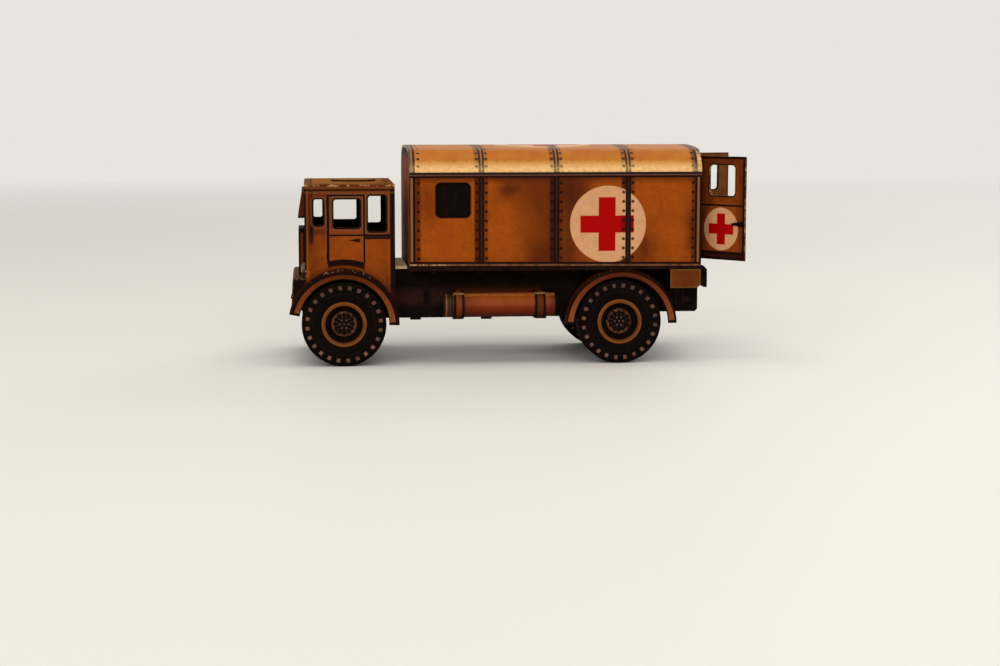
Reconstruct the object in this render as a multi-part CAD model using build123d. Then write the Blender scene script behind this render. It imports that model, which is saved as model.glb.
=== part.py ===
from build123d import *
import math
import os

# A small card model of a forward-control military ambulance truck, at 1:72.
# Millimetres. While it is drawn, X runs rearward with zero midway between the axles, Y runs to the
# far side with zero on the centre line, and Z is up from the ground. The finished pieces are moved
# together so that the origin is under the middle of the whole model, with its doors as they stand.

# Card, and the gaps that let pieces move
card = 0.5
door_gap = 0.1
bearing_gap = 0.08
bore_gap = 0.02

# Wheels and axle sticks
wheelbase = 53.44
tyre_radius = 8.15
tyre_shoulder = 0.3
wheel_width = 4.5
wheel_inset = 0.3
wheel_to_chassis = 1.2
rim_outer_radius = 4.5
rim_inner_radius = 3.6
rim_recess = 1.5
hub_radius = 2.56
hub_boss_radius = 1.35
hub_plate_rise = 0.5
hub_boss_rise = 0.3
stick_radius = 0.75
stick_cover = 0.9

# Chassis: a folded card channel, open below, with a deck that widens under the load body
chassis_over_tyres = 2.5
chassis_height = 10.1
chassis_front_slope = 4.0
chassis_rear_slope = 0.5
chassis_rear_rise = 0.7
chassis_tail = 0.55
bearing_lobe_radius = 2.2
foot_width = 2.1
foot_drop = 0.4
feet_from_body_front = (1.4, 9.7, 15.3, 26.1)
formers_from_body_front = (1.1, 20.6)

# Load body
rear_overhang = 15.88
body_half = 16.5
side_height = 17.8
eave_radius = 5.0
crown_rise = 0.5
side_window = 6.65
side_window_radius = 1.0
side_window_from_front = 8.39
side_window_below_eave = 4.72
backing_border = 1.0

# Rear doorway and its two doors, which open on their outer edges
doorway_inset = 5.1
doorway_sill = 1.1
doorway_below_crown = 1.9
near_door_angle = 140.0
far_door_angle = 100.0
hinge_standoff = 0.25
hinge_roll_radius = 0.2
hinge_fold = 0.1
door_window_from_hinge = 5.75
door_window_below_head = 4.75
door_window_width = 6.3
door_window_height = 5.9
door_window_radius = 0.7
lever_length = 2.5
lever_grip = 1.0
lever_point = 0.3
lever_thickness = 0.4
lever_above_sill = 7.2
lever_inset = 0.4

# Cab
front_overhang = 7.38
cab_length = 17.35
cab_gap = 2.65
cab_inset = 2.5
cab_height = 16.2
cab_skirt = 6.5
arch_gap = 0.8
roof_edge_slope = 0.15
hatch_radius = 4.4
hatch_thickness = 0.3
hatch_from_front = 9.7
# Each cab side window: its front edge behind the cab's front, its head below the roof's top,
# its width, its height and its corner radius
cab_windows = (
    {"front": 1.8, "head": 2.95, "width": 1.8, "height": 4.95, "radius": 0.4},
    {"front": 5.6, "head": 3.0, "width": 5.0, "height": 5.4, "radius": 0.5},
    {"front": 12.2, "head": 2.35, "width": 3.4, "height": 6.75, "radius": 0.5},
)

# Cab front: the windscreen flap, the radiator box with its slats, the apron and the lamps
flap_below_roof = 2.2
flap_height = 4.4
flap_lean = 0.75
flap_tab = 0.6
flap_inset = 1.8
pane_border = 0.8
pane_middle = 0.9
radiator_half = 6.4
radiator_height = 9.1
radiator_depth = 1.2
slat_count = 11
slat_gap = 0.45
slat_depth = 0.6
radiator_frame = 0.9
radiator_corner = 0.9
apron_below_floor = 2.0
apron_height = 6.4
apron_depth = 2.7
apron_lean = 0.3
apron_slope = 0.4
lamp_radius = 1.4
lamp_depth = 0.5
lens_radius = 0.95
lens_depth = 0.25
lamp_inset = 3.8
lamp_above_bumper = 1.6

# Fenders: a curved strip of card with a lip down its outer edge
lip_thickness = 0.25
front_lip = 1.5
front_lip_gap = 0.5
front_fender_start_angle = -1.2
front_fender_end_angle = 168.9
rear_lip = 1.17
rear_tyre_gap = 1.05
rear_fender_back = 0.33
rear_fender_flat = 0.15
rear_fender_start_angle = 1.2
rear_fender_end_angle = 179.6

# Fuel tank, locker and rear step
tank_radius = 2.35
tank_length = 21.5
tank_ahead_of_fender = 1.98
tank_below_floor = 7.45
tank_standoff = 0.15
tank_cap_length = 1.5
tank_cap_radius = 2.25
strap_width = 2.05
strap_proud = 0.3
strap_places = (2.9, 18.7)
locker_under_fender = 1.35
locker_height = 3.7
locker_slope = 0.7
step_depth = 1.3
step_height = 4.2
step_slope = 0.7
step_above_floor = 0.1

# Places worked out from the sizes above
front_axle_x = -wheelbase / 2
rear_axle_x = wheelbase / 2
wheel_outer_y = body_half - wheel_inset
wheel_inner_y = wheel_outer_y - wheel_width
chassis_half = wheel_inner_y - wheel_to_chassis
cab_half = body_half - cab_inset
doorway_half = body_half - doorway_inset
flap_half = cab_half - flap_inset
lamp_y = cab_half - lamp_inset
chassis_top = 2 * tyre_radius + chassis_over_tyres
chassis_bottom = chassis_top - chassis_height
cab_front = front_axle_x - front_overhang
cab_rear = cab_front + cab_length
cab_roof = chassis_top + cab_height
cab_bottom = chassis_top - cab_skirt
body_front = cab_rear + cab_gap
body_rear = rear_axle_x + rear_overhang
eave = chassis_top + side_height
crown = eave + eave_radius + crown_rise
arch_radius = tyre_radius + arch_gap
front_lip_radius = tyre_radius + front_lip_gap
front_fender_radius = front_lip_radius + front_lip + card
rear_fender_inner = tyre_radius + rear_tyre_gap
rear_fender_radius = rear_fender_inner + rear_lip + card
rear_fender_x = rear_axle_x + rear_fender_back
rear_fender_z = chassis_top - card - rear_fender_radius + rear_fender_flat
door_sill = chassis_top + doorway_sill
door_head = crown - doorway_below_crown
hinge_x = body_rear + hinge_standoff
tank_y = -chassis_half - tank_standoff - tank_radius
tank_z = chassis_top - tank_below_floor
tank_rear = rear_fender_x - rear_fender_radius - tank_ahead_of_fender


def block(x, y, z):
    """Make a box from its low and high places along X, Y and Z."""
    sizes = [high - low for low, high in (x, y, z)]
    middle = [(low + high) / 2 for low, high in (x, y, z)]
    return Pos(*middle) * Box(*sizes)


def near_plate(profile, outer_y, width):
    """Give an X-Z profile its width, inward from the near side's plane at -outer_y."""
    return extrude(Plane.XZ.offset(outer_y - width) * profile, width)


def end_plate(profile, front_x, thick):
    """Give a Y-Z profile its thickness, rearward from front_x."""
    return extrude(Plane.YZ.offset(front_x) * profile, thick)


def slab(x, z):
    """Make an X-Z rectangle from its low and high places."""
    return Pos((x[0] + x[1]) / 2, (z[0] + z[1]) / 2) * Rectangle(x[1] - x[0], z[1] - z[0])


def both_sides(near_piece):
    """Give a near piece and its mirror image on the far side."""
    return near_piece, mirror(near_piece, Plane.XZ)


# Load body

def roof_area(inset):
    """The area under the arched roof and above the eaves, drawn inset from the outside."""
    centre_y = body_half - eave_radius
    rise = eave_radius + crown_rise
    crown_radius = (centre_y ** 2 + rise ** 2 - eave_radius ** 2) / (2 * crown_rise)
    turn = math.degrees(math.atan2(crown_radius - rise, centre_y))
    corner = eave_radius - inset
    right = CenterArc((centre_y, eave), corner, 0, turn)
    top = CenterArc((0, crown - crown_radius), crown_radius - inset, turn, 180 - 2 * turn)
    left = CenterArc((-centre_y, eave), corner, 180 - turn, turn)
    base = Line((inset - body_half, eave), (body_half - inset, eave))
    return make_face(right + top + left + base)


def body_outline(inset, bottom):
    """The body's end shape, drawn inset from the outside and standing on bottom."""
    half = body_half - inset
    wall = Pos(0, (bottom + eave) / 2) * Rectangle(2 * half, eave - bottom)
    return roof_area(inset) + wall


def body_pieces():
    length = body_rear - body_front
    inside = (body_front + card, body_rear - card)
    window = Pos(body_front + side_window_from_front, eave - side_window_below_eave)
    window *= RectangleRounded(side_window, side_window, side_window_radius)
    side = near_plate(slab((body_front, body_rear), (chassis_top, eave)) - window, body_half, card)
    near_side, far_side = both_sides(side)
    backing_size = side_window + 2 * backing_border
    backing = Pos(body_front + side_window_from_front, eave - side_window_below_eave)
    backing *= Rectangle(backing_size, backing_size)
    backings = both_sides(near_plate(backing, body_half - card, card))
    roof = end_plate(roof_area(0) - roof_area(card), body_front, length)
    front = end_plate(body_outline(card, chassis_top), body_front, card)
    doorway = Pos(0, (door_sill + door_head) / 2)
    doorway *= Rectangle(2 * doorway_half, door_head - door_sill)
    rear = end_plate(body_outline(card, chassis_top) - doorway, body_rear - card, card)
    floor = block(inside, (card - body_half, body_half - card), (chassis_top, chassis_top + card))
    return {
        "body_side_near": near_side,
        "body_side_far": far_side,
        "side_window_backings": Part() + list(backings),
        "body_roof": roof,
        "body_front": front,
        "body_rear_frame": rear,
        "body_floor": floor,
    }


# Rear doors

def closed_door():
    """The near door, shut, drawn from its hinge line: X outward and Y towards the middle."""
    width = doorway_half - 2 * door_gap
    height = door_head - door_sill - 2 * door_gap
    bottom = door_sill + door_gap
    outer_x = -hinge_standoff
    window = Pos(door_window_from_hinge, door_head - door_window_below_head)
    window *= RectangleRounded(door_window_width, door_window_height, door_window_radius)
    panel = Pos(door_gap + width / 2, bottom + height / 2) * Rectangle(width, height)
    leaf = end_plate(panel - window, outer_x - card, card)
    roll = Pos(0, 0, bottom) * Cylinder(
        hinge_roll_radius, height, align=(Align.CENTER, Align.CENTER, Align.MIN)
    )
    fold = block(
        (outer_x - hinge_fold, hinge_fold),
        (door_gap, door_gap + hinge_roll_radius),
        (bottom, bottom + height),
    )
    return leaf + fold + roll


def closed_lever():
    """The near door's black lever, on its outer face beside its free edge, pointed inward."""
    grip_y = doorway_half - door_gap - lever_inset
    point_y = grip_y - lever_length
    height = door_sill + lever_above_sill
    outline = Polyline(
        (point_y, height - lever_point / 2),
        (grip_y, height - lever_grip / 2),
        (grip_y, height + lever_grip / 2),
        (point_y, height + lever_point / 2),
        close=True,
    )
    return end_plate(make_face(outline), -hinge_standoff, lever_thickness)


def door_pieces():
    """Hang each door on its hinge line and turn it outwards by its angle."""
    pieces = {}
    near_hang = Pos(hinge_x, -doorway_half, 0) * Rot(0, 0, -near_door_angle)
    far_hang = Pos(hinge_x, -doorway_half, 0) * Rot(0, 0, -far_door_angle)
    for name, shape in (("door", closed_door()), ("door_lever", closed_lever())):
        pieces["near_" + name] = near_hang * shape
        pieces["far_" + name] = mirror(far_hang * shape, Plane.XZ)
    return pieces


# Cab

def arch_cutter(axle_x, inner_y):
    """The round space kept for the wheels, outside inner_y on both sides."""
    reach = body_half - inner_y
    circle = Pos(axle_x, tyre_radius) * Circle(arch_radius)
    near, far = both_sides(near_plate(circle, body_half, reach))
    return near + far


def cab_side():
    profile = slab((cab_front, cab_rear), (cab_bottom, cab_roof - card))
    profile -= Pos(front_axle_x, tyre_radius) * Circle(arch_radius)
    for window in cab_windows:
        centre_x = cab_front + window["front"] + window["width"] / 2
        centre_z = cab_roof - window["head"] - window["height"] / 2
        hole = RectangleRounded(window["width"], window["height"], window["radius"])
        profile -= Pos(centre_x, centre_z) * hole
    return near_plate(profile, cab_half, card)


def pane_openings(low_z, high_z):
    """The two windscreen openings, one each side of the middle bar."""
    width = flap_half - pane_border - pane_middle / 2
    middle_y = pane_middle / 2 + width / 2
    pane = Rectangle(width, high_z - low_z)
    middle_z = (low_z + high_z) / 2
    return Pos(middle_y, middle_z) * pane + Pos(-middle_y, middle_z) * pane


def front_wheel_space():
    """The space of both front wheels, from halfway between the chassis and the tyres outward."""
    return arch_cutter(front_axle_x, (chassis_half + wheel_inner_y) / 2)


def cab_pieces():
    inner_half = cab_half - card
    flap_top = cab_roof - flap_below_roof
    panes = pane_openings(flap_top - flap_height + pane_border, flap_top - pane_border)
    near_side, far_side = both_sides(cab_side())
    front_middle = Pos(0, (cab_bottom + cab_roof - card) / 2)
    front_shape = front_middle * Rectangle(2 * inner_half, cab_roof - card - cab_bottom)
    front = end_plate(front_shape - panes, cab_front, card) - front_wheel_space()
    inside = (-inner_half, inner_half)
    back = block((cab_rear - card, cab_rear), inside, (chassis_top, cab_roof - card))
    roof = block((cab_front, cab_rear), (-cab_half, cab_half), (cab_roof - card, cab_roof))
    roof_edges = roof.faces().sort_by(Axis.Z)[-1].edges()
    hatch = Pos(cab_front + hatch_from_front, 0, cab_roof) * Cylinder(
        hatch_radius, hatch_thickness, align=(Align.CENTER, Align.CENTER, Align.MIN)
    )
    floor_x = (cab_front + card, cab_rear - card)
    floor = block(floor_x, inside, (chassis_top, chassis_top + card))
    return {
        "cab_side_near": near_side,
        "cab_side_far": far_side,
        "cab_front": front,
        "cab_back": back,
        "cab_roof": chamfer(roof_edges, roof_edge_slope),
        "cab_roof_hatch": hatch,
        "cab_floor": floor,
    }


def windscreen_flap():
    """A bent strip glued at its top tab, leaning out at its lower edge, with a cheek each end."""
    top = cab_roof - flap_below_roof
    low = top - flap_height
    outline = Polyline(
        (cab_front, top + flap_tab),
        (cab_front, top),
        (cab_front - flap_lean, low),
        (cab_front - flap_lean - card, low),
        (cab_front - card, top),
        (cab_front - card, top + flap_tab),
        close=True,
    )
    flap = near_plate(make_face(outline), flap_half, 2 * flap_half)
    cheek = Polyline(
        (cab_front, top), (cab_front, low), (cab_front - flap_lean, low), close=True
    )
    for edge_y in (flap_half, card - flap_half):
        flap += near_plate(make_face(cheek), edge_y, card)
    holes = pane_openings(low + pane_border, top - pane_border)
    return flap - end_plate(holes, cab_front - flap_lean - 2 * card, flap_lean + 3 * card)


def radiator_box():
    """The radiator panel on the bumper, with its upright slats left standing in a sunk field."""
    low = chassis_top - apron_below_floor
    high = low + radiator_height
    front_x = cab_front - radiator_depth
    box = block((front_x, cab_front), (-radiator_half, radiator_half), (low, high))
    box = chamfer(box.edges().filter_by(Axis.X).group_by(Axis.Z)[-1], radiator_corner)
    field = 2 * (radiator_half - radiator_frame)
    pitch = field / slat_count
    gap_count = slat_count - 1
    for i in range(gap_count):
        middle = (i - (gap_count - 1) / 2) * pitch
        box -= block(
            (front_x, front_x + slat_depth),
            (middle - slat_gap / 2, middle + slat_gap / 2),
            (low + radiator_frame, high - radiator_frame),
        )
    return box


def front_apron():
    """The deep front bumper between the fenders, leaning out to its lower edge."""
    high = chassis_top - apron_below_floor
    low = high - apron_height
    low_x = cab_front - apron_depth
    outline = Polyline(
        (cab_front, high),
        (low_x + apron_lean + apron_slope, high),
        (low_x + apron_lean, high - apron_slope),
        (low_x, low),
        (cab_front, low),
        close=True,
    )
    return near_plate(make_face(outline), cab_half, 2 * cab_half) - front_wheel_space()


def head_lamps():
    """Two stacked card discs, one each side of the radiator."""
    height = chassis_top - apron_below_floor + lamp_above_bumper
    rim_x = cab_front - lamp_depth
    lamps = []
    for y in (-lamp_y, lamp_y):
        middle = Pos(y, height)
        base = end_plate(middle * Circle(lamp_radius), rim_x, lamp_depth)
        lens = end_plate(middle * Circle(lens_radius), rim_x - lens_depth, lens_depth)
        lamps.append(base + lens)
    return Part() + lamps


# Fenders

def ring_part(centre, outer, inner, start, end):
    """The part of a flat ring from one angle to another, counted from the rear, upward."""
    arc_outer = CenterArc(centre, outer, start, end - start)
    arc_inner = CenterArc(centre, inner, start, end - start)
    edges = [arc_outer, arc_inner]
    edges += [Line(arc_outer @ at, arc_inner @ at) for at in (0, 1)]
    return make_face(Curve() + edges)


def fender(centre, outer, lip, start, end, inner_y):
    """A curved strip from inner_y to the body's side plane, with a lip down its outer edge."""
    strip = ring_part(centre, outer, outer - card, start, end)
    edge = ring_part(centre, outer, outer - card - lip, start, end)
    crown_strip = near_plate(strip, body_half, body_half - inner_y)
    return crown_strip + near_plate(edge, body_half, lip_thickness)


def fender_pieces():
    front = fender(
        (front_axle_x, tyre_radius), front_fender_radius, front_lip,
        front_fender_start_angle, front_fender_end_angle, cab_half,
    )
    rear = fender(
        (rear_fender_x, rear_fender_z), rear_fender_radius, rear_lip,
        rear_fender_start_angle, rear_fender_end_angle, cab_half,
    )
    ends = (body_front, body_rear)
    rear -= block(ends, (-body_half - 1, 0), (chassis_top - card, chassis_top + card))
    pieces = {}
    for name, shape in (("front_fender", front), ("rear_fender", rear)):
        pieces[name + "_near"], pieces[name + "_far"] = both_sides(shape)
    return pieces


# Chassis

def chassis_side():
    """One side of the channel, with its feet and a lobe round each bearing hole."""
    front = cab_front + card
    tail = body_rear + chassis_tail
    tail_top = chassis_top + step_above_floor - step_height - bearing_gap
    tail_low = chassis_bottom + chassis_rear_rise
    rise_x = rear_axle_x + tyre_radius
    outline = Polyline(
        (front, chassis_top - card),
        (body_rear, chassis_top - card),
        (body_rear, tail_top),
        (tail, tail_top),
        (tail, tail_low + chassis_rear_slope),
        (tail - chassis_rear_slope, tail_low),
        (rise_x, tail_low),
        (rise_x - chassis_rear_rise, chassis_bottom),
        (front + chassis_front_slope, chassis_bottom),
        (front, chassis_bottom + chassis_front_slope),
        close=True,
    )
    profile = make_face(outline)
    for place in feet_from_body_front:
        foot_x = (body_front + place - foot_width / 2, body_front + place + foot_width / 2)
        profile += slab(foot_x, (chassis_bottom - foot_drop, chassis_bottom + foot_drop))
    for axle_x in (front_axle_x, rear_axle_x):
        lobe = Pos(axle_x, tyre_radius) * Circle(bearing_lobe_radius)
        neck = slab(
            (axle_x - bearing_lobe_radius, axle_x + bearing_lobe_radius),
            (tyre_radius, chassis_bottom + card),
        )
        hole = Pos(axle_x, tyre_radius) * Circle(stick_radius + bearing_gap)
        profile = profile + lobe + neck - hole
    return near_plate(profile, chassis_half, card)


def chassis_pieces():
    near_side, far_side = both_sides(chassis_side())
    inner = (card - chassis_half, chassis_half - card)
    deck_z = (chassis_top - card, chassis_top)
    top = block((cab_front + card, body_rear), (-chassis_half, chassis_half), deck_z)
    top += block((body_front, body_rear), (-body_half, body_half), deck_z)
    below_top = chassis_top - card
    formers = [
        block((body_front + x, body_front + x + card), inner, (chassis_bottom, below_top))
        for x in formers_from_body_front
    ]
    rear_low = chassis_bottom + chassis_rear_rise + chassis_rear_slope
    rear = block((body_rear - card, body_rear), inner, (rear_low, below_top))
    return {
        "chassis_top": top,
        "chassis_side_near": near_side,
        "chassis_side_far": far_side,
        "chassis_formers": Part() + formers,
        "chassis_rear": rear,
    }


# Fuel tanks, lockers and rear step

def tank():
    """A rolled tube closed at both ends, with a narrower cap at the front end."""
    centre = Pos(tank_y, tank_z)
    cap_front = tank_rear - tank_length
    cap = end_plate(centre * Circle(tank_cap_radius), cap_front, tank_cap_length)
    tube_front = cap_front + tank_cap_length
    return end_plate(centre * Circle(tank_radius), tube_front, tank_rear - tube_front) + cap


def tank_straps():
    """Two bands of card round the tank, with flat backs glued to the chassis side."""
    reach = tank_radius + tank_standoff
    outer_radius = tank_radius + strap_proud
    back = Pos(reach / 2, 0) * Rectangle(reach, 2 * outer_radius)
    past_back = Pos(reach + outer_radius, 0) * Rectangle(2 * outer_radius, 4 * outer_radius)
    band = Circle(outer_radius) + back - past_back - Circle(tank_radius + bore_gap)
    bands = [
        end_plate(Pos(tank_y, tank_z) * band, tank_rear - place - strap_width / 2, strap_width)
        for place in strap_places
    ]
    return Part() + bands


def locker():
    """The small box under the deck's rear corner, cut away at its lower rear edge."""
    front = rear_fender_x + rear_fender_radius - locker_under_fender
    high = chassis_top - card
    low = high - locker_height
    box = block((front, body_rear), (-body_half, -chassis_half), (low, high))
    lower_rear = box.edges().filter_by(Axis.Y).group_by(Axis.Z)[0].sort_by(Axis.X)[-1]
    return chamfer(lower_rear, locker_slope)


def rear_step():
    """The bar behind the body, sloped off along its top rear edge and its lower front edge."""
    high = chassis_top + step_above_floor
    outline = Polyline(
        (body_rear, high),
        (body_rear + step_depth - step_slope, high),
        (body_rear + step_depth, high - step_slope),
        (body_rear + step_depth, high - step_height),
        (body_rear + step_slope, high - step_height),
        (body_rear, high - step_height + step_slope),
        close=True,
    )
    half = body_half - card
    return near_plate(make_face(outline), half, 2 * half)


# Wheels

def wheel_turned(points):
    """Turn a profile of radius and distance from the centre line about the near wheel's axle."""
    section = make_face(Polyline(*points, close=True))
    solid = revolve(Plane.XZ * section, Axis.Z, 360)
    return Pos(0, 0, tyre_radius) * Rot(90, 0, 0) * solid


def tyre():
    """The ring of laminated discs, rounded off at both shoulders by a small slope."""
    return wheel_turned((
        (rim_outer_radius, wheel_inner_y),
        (tyre_radius - tyre_shoulder, wheel_inner_y),
        (tyre_radius, wheel_inner_y + tyre_shoulder),
        (tyre_radius, wheel_outer_y - tyre_shoulder),
        (tyre_radius - tyre_shoulder, wheel_outer_y),
        (rim_outer_radius, wheel_outer_y),
    ))


def rim():
    """The rim ring with its sunk face, the raised hub plate and the hub's boss."""
    face = wheel_outer_y - rim_recess
    plate = face + hub_plate_rise
    bore = stick_radius + bore_gap
    bore_end = face - stick_cover
    return wheel_turned((
        (bore, wheel_inner_y),
        (rim_outer_radius, wheel_inner_y),
        (rim_outer_radius, wheel_outer_y),
        (rim_inner_radius, wheel_outer_y),
        (rim_inner_radius, face),
        (hub_radius, face),
        (hub_radius, plate),
        (hub_boss_radius, plate),
        (hub_boss_radius, plate + hub_boss_rise),
        (0, plate + hub_boss_rise),
        (0, bore_end),
        (bore, bore_end),
    ))


def axle_stick():
    """The straight stick that carries a pair of wheels."""
    half = wheel_outer_y - rim_recess - stick_cover - bore_gap
    return Pos(0, 0, tyre_radius) * Rot(90, 0, 0) * Cylinder(stick_radius, 2 * half)


def wheel_pieces():
    pieces = {}
    for axle, x in (("front", front_axle_x), ("rear", rear_axle_x)):
        place = Pos(x, 0, 0)
        pieces[axle + "_axle_stick"] = place * axle_stick()
        for name, shape in (("tyre", tyre()), ("rim", rim())):
            near, far = both_sides(shape)
            pieces[f"{axle}_{name}_near"] = place * near
            pieces[f"{axle}_{name}_far"] = place * far
    return pieces


def side_gear_pieces():
    pieces = {"rear_step": rear_step()}
    for name, shape in (("tank", tank()), ("tank_straps", tank_straps()), ("locker", locker())):
        pieces[name + "_near"], pieces[name + "_far"] = both_sides(shape)
    return pieces


pieces = {
    **chassis_pieces(),
    **body_pieces(),
    **door_pieces(),
    **cab_pieces(),
    "windscreen_flap": windscreen_flap(),
    "radiator_box": radiator_box(),
    "front_apron": front_apron(),
    "head_lamps": head_lamps(),
    **fender_pieces(),
    **side_gear_pieces(),
    **wheel_pieces(),
}

boxes = [shape.bounding_box() for shape in pieces.values()]
origin_x = (min(b.min.X for b in boxes) + max(b.max.X for b in boxes)) / 2
origin_y = (min(b.min.Y for b in boxes) + max(b.max.Y for b in boxes)) / 2
origin_z = min(b.min.Z for b in boxes)

os.makedirs("parts", exist_ok=True)
for name, shape in pieces.items():
    export_step(Pos(-origin_x, -origin_y, -origin_z) * shape, f"parts/{name}.step")
print("origin", round(origin_x, 4), round(origin_y, 4), round(origin_z, 4))
print("hinge", round(hinge_x, 4), doorway_half, "axles", front_axle_x, rear_axle_x, tyre_radius)
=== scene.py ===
import math

import bpy
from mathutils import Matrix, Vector


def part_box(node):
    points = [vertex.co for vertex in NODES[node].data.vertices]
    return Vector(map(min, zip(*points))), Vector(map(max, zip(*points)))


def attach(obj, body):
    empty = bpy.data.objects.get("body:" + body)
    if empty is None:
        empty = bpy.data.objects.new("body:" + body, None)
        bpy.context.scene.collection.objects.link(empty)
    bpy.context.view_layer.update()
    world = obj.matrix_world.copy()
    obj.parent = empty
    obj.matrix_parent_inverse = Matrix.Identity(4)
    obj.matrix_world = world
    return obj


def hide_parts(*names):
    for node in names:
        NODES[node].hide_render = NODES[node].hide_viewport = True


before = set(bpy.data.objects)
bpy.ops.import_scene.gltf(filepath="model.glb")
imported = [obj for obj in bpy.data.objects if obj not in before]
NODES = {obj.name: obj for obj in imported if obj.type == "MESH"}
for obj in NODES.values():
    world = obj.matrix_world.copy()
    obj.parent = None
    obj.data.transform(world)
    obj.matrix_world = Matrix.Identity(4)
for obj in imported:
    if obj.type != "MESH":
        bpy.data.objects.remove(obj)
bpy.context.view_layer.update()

# The looks of a small printed card model of a military ambulance truck. Everything is in metres,
# and the prints are drawn in millimetres on the model's own lines: x along it from midway between
# the axles, y across it from the centre line, and z up from just above the ground.

MM = 0.001
near_side, far_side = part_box("body_side_near"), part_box("body_side_far")
front_tyre, rear_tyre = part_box("front_tyre_near"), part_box("rear_tyre_near")
mid_x = (front_tyre[0].x + rear_tyre[1].x) / 2
mid_y = (near_side[0].y + far_side[1].y) / 2

# Places on the model that the prints follow. Heights start as far under the deck as they do on
# the printed sheet, which is a little above the ground.
DECK_Z = 18.5
ZERO_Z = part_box("chassis_top")[1].z - DECK_Z * MM
SIDE_PLANE = 16.5
CAB_PLANE = 14.0
CARD_THICKNESS = 0.5
EAVE_Z, EAVE_RADIUS, CROWN_Z = 36.3, 5.0, 41.6
CURVE_START = SIDE_PLANE - EAVE_RADIUS
BODY_FRONT, BODY_REAR = -14.1, 42.6
CAB_FRONT, CAB_REAR, CAB_TOP = -34.1, -16.75, 34.7
POSTS = (-0.25, 14.26, 28.2)
RIVET_PITCH, TOP_RIVET_Z = 1.8, 34.8
REAR_DOOR_Z = 29.75
AXLE_X = (rear_tyre[0].x + rear_tyre[1].x) / 2 / MM - mid_x / MM
AXLE_Z = ((rear_tyre[0].z + rear_tyre[1].z) / 2 - ZERO_Z) / MM
HINGE_X, HINGE_Y = 42.85, 11.4
REAR_FENDER_X, REAR_FENDER_Z = 27.05, 7.28
RIM_RADIUS = 4.5
LAYERS = 9

# A value that no place on the model reaches, for bands that are open on one side
BEYOND = 99.0
# How soft the edge of a mask is: of a printed line, and where a card's outer face ends
PRINT_BLUR, CARD_BLUR = 0.08, 0.05
# How far a surface has to face one way to count as facing it, and how softly that starts
FACING, FACING_BLUR = 0.7, 0.1
# The card's tooth, as bump: its strength, and its depth in metres
TOOTH_STRENGTH, TOOTH_DEPTH = 0.5, 0.00004
# How much the flecks of ink make the roughness differ
FLECK_ROUGHNESS = 0.16
# The Mix node's sockets when it mixes colours
MIX_FACTOR, MIX_UNDER, MIX_OVER, MIX_RESULT = 0, 6, 7, 2


def ink(red, green, blue):
    """An ink's 0 to 255 values as the linear colour that a shader takes."""
    scaled = (value / 255 for value in (red, green, blue))
    linear = [((v + 0.055) / 1.055) ** 2.4 if v > 0.04 else v / 12.92 for v in scaled]
    return (*linear, 1.0)


BROWN = ink(157, 73, 10)
BROWN_DARK = ink(66, 23, 4)
ROOF_BROWN = ink(170, 103, 22)
LINE = ink(24, 6, 3)
POST_GREY = ink(52, 30, 20)
EAVE_LINE = ink(96, 56, 42)
PALE_LINE = ink(150, 92, 40)
DULL_LINE = ink(126, 82, 54)
ROOF_GOLD = ink(238, 198, 132)
RAW_CARD = ink(186, 148, 98)
RAW_SMUDGE = ink(76, 38, 16)
DISC = ink(205, 152, 110)
CROSS = ink(160, 0, 0)
BLACKENED = ink(9, 4, 2)
BLACK_WORN = ink(30, 17, 11)
TYRE_BLACK = ink(6, 3, 2)
DASH = ink(126, 90, 74)
ORANGE = ink(126, 62, 26)


# Readings and sums on them

class Reading:
    """A number read off a surface, with the sums that Math nodes do on it."""

    def __init__(self, tree, socket):
        self.tree = tree
        self.socket = socket

    def sum(self, operation, *others, clamp=False):
        node = self.tree.nodes.new("ShaderNodeMath")
        node.operation = operation
        node.use_clamp = clamp
        for slot, value in zip(node.inputs, (self, *others)):
            join(self.tree, value, slot)
        return Reading(self.tree, node.outputs[0])

    def __add__(self, other):
        return self.sum("ADD", other)

    def __sub__(self, other):
        return self.sum("SUBTRACT", other)

    def __mul__(self, other):
        return self.sum("MULTIPLY", other)

    def __truediv__(self, other):
        return self.sum("DIVIDE", other)

    def __neg__(self):
        return self * -1.0

    def __rsub__(self, number):
        return -self + number

    def __abs__(self):
        return self.sum("ABSOLUTE")

    def least(self, other):
        return self.sum("MINIMUM", other)

    def most(self, other):
        return self.sum("MAXIMUM", other)

    def flipped(self):
        """One less this mask."""
        return (-self).clamped(1.0)

    def clamped(self, plus=0.0):
        """This and a number, held between 0 and 1."""
        return self.sum("ADD", plus, clamp=True)


def join(tree, value, slot):
    """Give a socket its value: another socket's reading, or a plain number or colour."""
    if isinstance(value, Reading):
        tree.links.new(value.socket, slot)
    elif isinstance(value, bpy.types.NodeSocket):
        tree.links.new(value, slot)
    else:
        slot.default_value = value


def length(first, second):
    return (first * first + second * second).sum("SQRT")


def soft_mask(depth, blur):
    """1 where a depth is over zero and 0 where it is under, with an edge as wide as blur."""
    return (depth / blur).clamped(0.5)


def effect(name, takes, gives):
    """Start a node group with its inputs and outputs: all are numbers, apart from a place."""
    tree = bpy.data.node_groups.new(name, "ShaderNodeTree")
    for label in takes:
        kind = "NodeSocketVector" if label == "place" else "NodeSocketFloat"
        tree.interface.new_socket(name=label, in_out="INPUT", socket_type=kind)
    for label in gives:
        tree.interface.new_socket(name=label, in_out="OUTPUT", socket_type="NodeSocketFloat")
    entrance = tree.nodes.new("NodeGroupInput")
    leave = tree.nodes.new("NodeGroupOutput")
    readings = [Reading(tree, entrance.outputs[label]) for label in takes]
    return tree, readings, leave


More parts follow.
